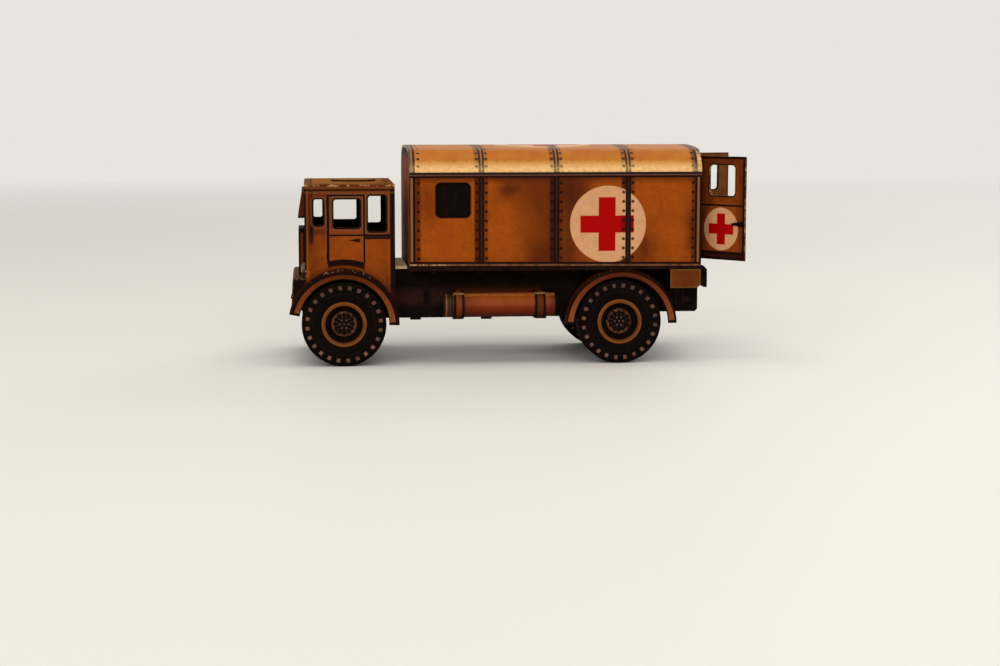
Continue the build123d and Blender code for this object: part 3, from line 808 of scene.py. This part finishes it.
def deck_card():
    """The chassis deck: black, with its cut edges showing brown where the ink has worn."""
    card = Card("chassis_deck_card", BLACKENED)
    edge = card.facing(card.face_z, 0.6).flipped()
    card.paint(edge * card.patches(0.9, 4.0, 0.7, 0.42, 0.66) * 0.35, BROWN_DARK)
    # between cab and body the board was left bare, inside a dark outline; the bare board is
    # painted paler than raw card, as painted light where the cab and body shade it
    gap = card.band(card.x, CAB_REAR + 0.2, BODY_FRONT - 0.2, 0.2)
    card.paint(gap, ink(226, 196, 150))
    card.paint(gap * card.patches(0.8, 4.0, 0.7, 0.5, 0.8) * 0.3, RAW_SMUDGE)
    card.paint(gap * card.band(card.across, SIDE_PLANE - 0.5, SIDE_PLANE - 0.02, 0.1), LINE)
    card.paint(card.facing(-card.face_z, 0.6), BLACKENED)
    return card.finish(0.66)


def chassis_card():
    """The chassis sides: black, with the faint print of bearers, springs and brackets."""
    card = Card("printed_chassis_card", BLACKENED)
    card.mottle(BLACK_WORN, 0.5, 0.5)
    faint = ink(48, 24, 24)
    bearer = card.x.sum("WRAP", 4.6, -4.6)
    card.paint(card.near(bearer, 0.5) * card.band(card.z, 17.0, 17.35) * 0.7, faint)
    # spring hanger and crossmember brackets ahead of the tank, and one on the tail
    ahead = card.band(card.x, -17.5, -4.6, 0.6) * card.band(card.z, 10.9, 14.0, 1.4)
    card.paint(ahead * 0.7, ink(44, 22, 16))
    card.paint(card.near(card.x + 10.4, 0.7) * ahead, BLACKENED)
    hanger = length((card.x + 13.6) * 0.62, card.z - 12.1)
    card.paint(card.below(hanger, 1.0, 0.3) * 0.55, faint)
    bracket = card.band(abs(card.x + 9.6), 0.25, 0.5) * card.band(card.z, 11.2, 14.4)
    card.paint(bracket * 0.5, faint)
    plate = card.band(card.x, -8.6, -6.6, 0.4) * card.band(card.z, 11.4, 13.0, 0.4)
    card.paint(plate * 0.6, faint)
    tail = card.band(abs(card.x - 39.6), 0.5, 0.9) * card.band(card.z, 10.6, 13.4)
    card.paint(tail * 0.5, faint)
    card.paint(card.band(card.x, 40.2, 41.4) * card.band(card.z, 11.0, 12.0) * 0.7, faint)
    # printed shade over the tank
    over_tank = card.band(card.x, -4.6, 12.0, 1.0) * card.band(card.z, 11.0, 14.4, 1.6)
    card.paint(over_tank * 0.6, ink(48, 24, 9))
    card.paint(over_tank * card.below(card.z, 13.9, 0.8) * 0.7, ink(76, 30, 5))
    card.raw_edges(card.side_faces(), 0.68)
    return card.finish(0.64, sheen=0.03)


def tank_card():
    """The rolled tank: a painted highlight along its shoulder, and painted shade below it, redder
    and then darker towards the bottom.
    """
    card = Card("printed_tank_card", ink(146, 66, 12))
    card.mottle(BROWN_DARK, 0.4, 0.3)
    # painted shade on the underside, redder and then darker towards the bottom
    card.paint(card.below(card.z, 11.4, 1.8) * 0.6, ink(110, 20, 1))
    card.paint(card.below(card.z, 10.1, 2.6) * 0.85, ink(46, 6, 0))
    card.paint(card.below(card.x, -1.6, 3.0) * 0.5, BROWN_DARK)
    card.paint(card.above(card.x, 13.1, 1.2) * 0.75, BROWN_DARK)
    # the painted highlight along the shoulder, broken into patches
    lit_and_rubbed = card.patches(1.8, 4.0, 0.7, 0.3, 0.55)
    card.paint(card.band(card.z, 12.9, 13.3, 0.25) * lit_and_rubbed * 0.8, ink(176, 112, 56))
    card.paint(card.below(card.x, -5.8, 0.1), ink(56, 34, 16))
    card.paint(card.band(card.x, -5.95, -5.7), LINE)
    card.paint(card.band(card.x, -7.0, -6.8), DULL_LINE)
    ends = card.end_faces()
    card.paint(ends, ink(58, 30, 14))
    return card.finish(0.5, sheen=0.1)


def strap_card():
    card = Card("printed_strap_card", ink(116, 56, 24))
    card.mottle(BROWN_DARK, 0.6, 0.5)
    strap = abs(card.x - 3.4) - 7.9
    card.paint(card.above(card.x, 3.0) * 0.6, BROWN_DARK)
    card.paint(card.above(abs(strap), 0.56), LINE)
    card.paint(card.band(card.z, 13.25, 13.5, 0.2) * 0.6, RAW_CARD)
    # painted shade on the underside, as on the tank
    card.paint(card.below(card.z, 9.6, 1.6) * 0.7, BLACKENED)
    card.paint(card.end_faces() * 0.8, LINE)
    return card.finish(0.55)


def locker_card():
    card = Card("printed_locker_card", ink(86, 36, 5))
    card.mottle(ink(106, 54, 12), 0.4, 0.7)
    rim = card.outline(card.x - 39.585, card.z - 16.15, 3.015, 1.85, 0.1)
    card.paint(card.above(rim, -0.3, 0.2) * 0.7, ink(106, 72, 28))
    card.paint(card.above(rim, -0.05, 0.1) * 0.6, LINE)
    card.blacken(card.facing(abs(card.face_y), 0.5).flipped())
    return card.finish(0.6)


# Wheels

def wheel_readings(card):
    """How far out from its axle a point is, and its angle round it."""
    u = abs(card.x) - AXLE_X
    v = card.z - AXLE_Z
    return length(u, v), v.sum("ARCTAN2", u)


def ring_of_marks(card, out, angle, count, radius, half_out, half_round, shift=0.0):
    """A ring of small printed marks, as far out as radius."""
    part = math.tau / count
    step = (angle + shift).sum("WRAP", part / 2, -part / 2) * radius
    return card.near(out - radius, half_out) * card.near(step, half_round)


def tyre_card():
    card = Card("printed_tyre_card", TYRE_BLACK)
    card.paint(card.patches(0.8, 4.0, 0.7, 0.45, 0.8) * 0.4, BLACK_WORN)
    out, angle = wheel_readings(card)
    face = card.side_faces()
    dashes = ring_of_marks(
        card, out, angle, count=24, radius=7.05, half_out=0.36, half_round=0.33, shift=0.1
    ) * face
    dashes *= card.patches(0.42, 2.0, 0.5, 0.36, 0.5) * 0.6 + 0.4
    card.paint(dashes, DASH)
    # painted shade: the upper dashes darker, under the fender
    card.paint(dashes * card.above(card.z, 9.0, 9.0) * 0.8, ink(78, 48, 44))
    card.paint(dashes * card.patches(2.2, 3.0, 0.6, 0.4, 0.7) * 0.5, TYRE_BLACK)
    card.paint(card.near(out - 5.9, 0.08) * face * 0.4, BLACK_WORN)
    tread = face.flipped()
    card.paint(tread * card.patches(1.3, 5.0, 0.75, 0.52, 0.74) * 0.5, RAW_SMUDGE)
    return card.finish(0.68, sheen=0.03)


def rim_card():
    card = Card("printed_rim_card", TYRE_BLACK)
    out, angle = wheel_readings(card)
    card.paint(card.band(out, 3.62, 4.36, 0.14), ink(110, 60, 22))
    # the ring darker towards its inner edge, as painted shade by the recess
    card.paint(card.below(out, 3.75, 0.4) * 0.5, ink(84, 46, 18))
    card.paint(card.band(out, 4.12, 4.3, 0.2) * 0.4, ink(160, 96, 44))
    card.paint(card.patches(0.5, 3.0, 0.6, 0.4, 0.7) * 0.4, ink(78, 44, 20))
    card.paint(card.above(out, 4.3), LINE)
    # black inside the ring: the hub's own dark print, and painted shade in the recess round the
    # hub
    card.paint(card.below(out, 3.6), TYRE_BLACK)
    broken = card.patches(0.7, 3.0, 0.6, 0.62, 0.46)
    card.paint(card.band(out, 1.9, 2.42, 0.15) * (broken * 0.75 + 0.05), ink(104, 62, 38))
    bolts = ring_of_marks(card, out, angle, 12, 2.0, 0.2, 0.2)
    card.paint(bolts, TYRE_BLACK)
    inner = ring_of_marks(card, out, angle, 6, 0.84, 0.16, 0.16)
    outer = ring_of_marks(card, out, angle, 12, 1.42, 0.11, 0.12, 0.26)
    card.paint(inner.most(card.below(out, 0.18)), ink(98, 66, 50))
    card.paint(outer * 0.7, ink(96, 64, 48))
    # the recess wall blackened, as painted shade in the hollow
    hollow = card.below(card.across, 14.9, 0.1)
    card.paint(hollow * card.above(out, 2.6), BLACKENED)
    return card.finish(0.58)


def stick_wood():
    """Split bamboo: fine streaks along its length, darkened with a wash of ink."""
    card = Card("stick_wood", ink(170, 126, 78))
    card.paint(card.fibres((6.0, 0.5, 6.0), 5.0, 0.7, 0.35, 0.65) * 0.7, ink(104, 66, 34))
    card.paint(card.above(card.across, 10.0, 2.0) * 0.6, BLACKENED)
    return card.finish(0.6)


MATERIALS = {
    side_card(): ("body_side_near", "body_side_far"),
    roof_card(): ("body_roof",),
    end_card(): ("body_front", "body_rear_frame"),
    door_card("near_door_card", -HINGE_Y, math.radians(140), False): ("near_door",),
    door_card("far_door_card", HINGE_Y, math.radians(100), True): ("far_door",),
    cab_side_card(): ("cab_side_near", "cab_side_far"),
    cab_roof_card(): ("cab_roof", "cab_roof_hatch"),
    cab_front_card(): ("cab_front", "cab_back"),
    nose_card(): ("windscreen_flap", "radiator_box"),
    apron_card(): ("front_apron",),
    lamp_card(): ("head_lamps",),
    fender_card(
        "front_fender_card", (-AXLE_X, AXLE_Z),
        outer=10.65, lit=(8.82, 9.6), sweep=(-1.2, 168.9), lit_and_rubbed=0.8,
    ): ("front_fender_near", "front_fender_far"),
    fender_card(
        "rear_fender_card", (REAR_FENDER_X, REAR_FENDER_Z),
        outer=10.87, lit=(9.42, 10.2), sweep=(1.2, 179.6), lit_and_rubbed=0.1,
    ): ("rear_fender_near", "rear_fender_far"),
    black_card(): (
        "chassis_formers", "chassis_rear", "rear_step", "body_floor", "cab_floor",
        "side_window_backings", "near_door_lever", "far_door_lever",
    ),
    deck_card(): ("chassis_top",),
    chassis_card(): ("chassis_side_near", "chassis_side_far"),
    tank_card(): ("tank_near", "tank_far"),
    strap_card(): ("tank_straps_near", "tank_straps_far"),
    locker_card(): ("locker_near", "locker_far"),
    rim_card(): ("front_rim_near", "front_rim_far", "rear_rim_near", "rear_rim_far"),
    stick_wood(): ("front_axle_stick", "rear_axle_stick"),
}
for material, names in MATERIALS.items():
    for name in names:
        for slot in NODES[name].material_slots:
            slot.material = material


# Tyres: each a stack of card rings, cut by hand, so their rims are not quite even

RING_CORNERS = 96
# The part of a ring's thickness that its softened rim takes
RIM_SOFTNESS = 0.16


def clear_choice():
    if bpy.context.object and bpy.context.object.mode != "OBJECT":
        bpy.ops.object.mode_set(mode="OBJECT")
    bpy.ops.object.select_all(action="DESELECT")


def card_ring(centre, outer, inner, thickness):
    """One flat ring of card, standing across the axle, with a softened outer rim."""
    bpy.ops.mesh.primitive_cylinder_add(
        vertices=RING_CORNERS, radius=outer, depth=thickness, end_fill_type="NGON",
        location=centre, rotation=(math.radians(90), 0.0, 0.0),
    )
    ring = bpy.context.object
    bpy.ops.object.transform_apply(location=False, rotation=True, scale=False)
    bpy.ops.object.mode_set(mode="EDIT")
    bpy.ops.mesh.select_mode(type="FACE")
    bpy.ops.object.mode_set(mode="OBJECT")
    for face in ring.data.polygons:
        face.select = abs(face.normal.y) > 0.9
    bpy.ops.object.mode_set(mode="EDIT")
    bpy.ops.mesh.inset(thickness=outer - inner, depth=0.0)
    bpy.ops.mesh.bridge_edge_loops()
    bpy.ops.object.mode_set(mode="OBJECT")
    soften = ring.modifiers.new("soft_rim", "BEVEL")
    soften.width = thickness * RIM_SOFTNESS
    soften.segments = 2
    soften.limit_method = "ANGLE"
    soften.angle_limit = math.radians(60)
    bpy.ops.object.modifier_apply(modifier=soften.name)
    return ring


def laminated_tyre(name, node, body, seed):
    """Nine rings glued side by side in the space of the tyre's solid."""
    low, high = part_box(node)
    centre_x, centre_z = (low.x + high.x) / 2, (low.z + high.z) / 2
    thickness = (high.y - low.y) / LAYERS
    rings = []
    for layer in range(LAYERS):
        clear_choice()
        # the two outside rings are cut closest to size, and the others unevenly
        trim = 0.03 * MM + 0.05 * MM * ((layer * 7 + seed * 3) % 4) / 3
        if layer in (0, LAYERS - 1):
            trim = 0.02 * MM
        middle = (centre_x, low.y + (layer + 0.5) * thickness, centre_z)
        ring = card_ring(middle, (high.z - low.z) / 2 - trim, RIM_RADIUS * MM, thickness)
        rings.append(ring)
    clear_choice()
    for ring in rings:
        ring.select_set(True)
    bpy.context.view_layer.objects.active = rings[0]
    bpy.ops.object.join()
    tyre = bpy.context.object
    tyre.name = tyre.data.name = name
    bpy.ops.object.transform_apply(location=True, rotation=True, scale=True)
    bpy.ops.object.shade_smooth_by_angle(angle=math.radians(35))
    tyre.data.materials.clear()
    tyre.data.materials.append(TYRE_CARD)
    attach(tyre, body)
    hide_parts(node)


TYRE_CARD = tyre_card()
for seed, (end, side) in enumerate(
    (("front", "near"), ("front", "far"), ("rear", "near"), ("rear", "far"))
):
    laminated_tyre(f"{end}_{side}_laminated_tyre", f"{end}_tyre_{side}", f"{end}_axle", seed)


# Studio

# The floor, in metres, fades into the surround between these distances from the model
FLOOR_RADIUS, FADE_START, FADE_END = 3.0, 0.2, 0.9
PALE_FLOOR = (0.66, 0.645, 0.615, 1.0)
SURROUND_LIGHT, SURROUND_SEEN = (1.0, 0.965, 0.91, 1.0), (0.80, 0.775, 0.73, 1.0)
SOFTBOX_LIGHT = (1.0, 0.97, 0.92)


def pale_floor():
    clear_choice()
    bpy.ops.mesh.primitive_circle_add(
        vertices=64, radius=FLOOR_RADIUS, fill_type="NGON", location=(0, 0, 0)
    )
    floor = bpy.context.object
    floor.name = "studio_floor"
    material = bpy.data.materials.new("studio_floor")
    material.use_nodes = True
    tree = material.node_tree
    shader = tree.nodes["Principled BSDF"]
    shader.inputs["Base Color"].default_value = PALE_FLOOR
    shader.inputs["Roughness"].default_value = 0.55
    shader.inputs["Specular IOR Level"].default_value = 0.1
    place = tree.nodes.new("ShaderNodeTexCoord")
    parts = tree.nodes.new("ShaderNodeSeparateXYZ")
    tree.links.new(place.outputs["Object"], parts.inputs[0])
    x, y, _ = (Reading(tree, out) for out in parts.outputs)
    far = spread(length(x, y), FADE_START, FADE_END)
    clear = tree.nodes.new("ShaderNodeBsdfTransparent")
    mix = tree.nodes.new("ShaderNodeMixShader")
    join(tree, far, mix.inputs[0])
    tree.links.new(shader.outputs[0], mix.inputs[1])
    tree.links.new(clear.outputs[0], mix.inputs[2])
    tree.links.new(mix.outputs[0], tree.nodes["Material Output"].inputs["Surface"])
    floor.data.materials.append(material)


def pale_surround():
    """A plain studio: one light level for the object and one pale colour behind it."""
    world = bpy.data.worlds.new("studio")
    bpy.context.scene.world = world
    world.use_nodes = True
    tree = world.node_tree
    light = tree.nodes["Background"]
    light.inputs["Color"].default_value = SURROUND_LIGHT
    light.inputs["Strength"].default_value = 0.44
    seen = tree.nodes.new("ShaderNodeBackground")
    seen.inputs["Color"].default_value = SURROUND_SEEN
    path = tree.nodes.new("ShaderNodeLightPath")
    mix = tree.nodes.new("ShaderNodeMixShader")
    straight = Reading(tree, path.outputs["Is Camera Ray"])
    glossy = Reading(tree, path.outputs["Is Glossy Ray"])
    join(tree, straight.most(glossy), mix.inputs[0])
    tree.links.new(light.outputs[0], mix.inputs[1])
    tree.links.new(seen.outputs[0], mix.inputs[2])
    tree.links.new(mix.outputs[0], tree.nodes["World Output"].inputs["Surface"])


def softbox(name, place, aim, size, power):
    """A lamp of a given size, in metres, and power, in watts, turned to what it lights."""
    lamp = bpy.data.lights.new(name, "AREA")
    lamp.shape = "RECTANGLE"
    lamp.size, lamp.size_y = size
    lamp.energy = power
    lamp.color = SOFTBOX_LIGHT
    holder = bpy.data.objects.new(name, lamp)
    bpy.context.scene.collection.objects.link(holder)
    holder.location = place
    holder.rotation_euler = (Vector(aim) - Vector(place)).to_track_quat("-Z", "Y").to_euler()


def camera():
    """Nearly side on, from a little ahead of the middle and a little over the roof."""
    photo_width, focal_length = 1000, 1932
    view = bpy.data.cameras.new("camera")
    view.sensor_width = 36.0
    view.lens = view.sensor_width * focal_length / photo_width
    view.clip_start, view.clip_end = 0.01, 20.0
    holder = bpy.data.objects.new("camera", view)
    bpy.context.scene.collection.objects.link(holder)
    place = Vector((mid_x - 32.9 * MM, mid_y - 385.7 * MM, 50.8 * MM))
    turn, down = math.radians(5.6), math.radians(6.855)
    look = Vector(
        (math.sin(turn) * math.cos(down), math.cos(turn) * math.cos(down), -math.sin(down))
    )
    holder.location = place
    holder.rotation_euler = look.to_track_quat("-Z", "Y").to_euler()
    bpy.context.scene.camera = holder


pale_floor()
pale_surround()
softbox("overhead_softbox", (0.0, -0.05, 0.62), (0.0, 0.0, 0.03), (0.7, 0.4), 2.3)
softbox("near_softbox", (-0.12, -0.7, 0.36), (0.0, 0.0, 0.03), (1.1, 0.3), 4.2)
softbox("far_softbox", (0.45, 0.6, 0.4), (0.0, 0.0, 0.02), (0.5, 0.4), 1.7)
camera()
bpy.context.scene.view_settings.view_transform = "Standard"
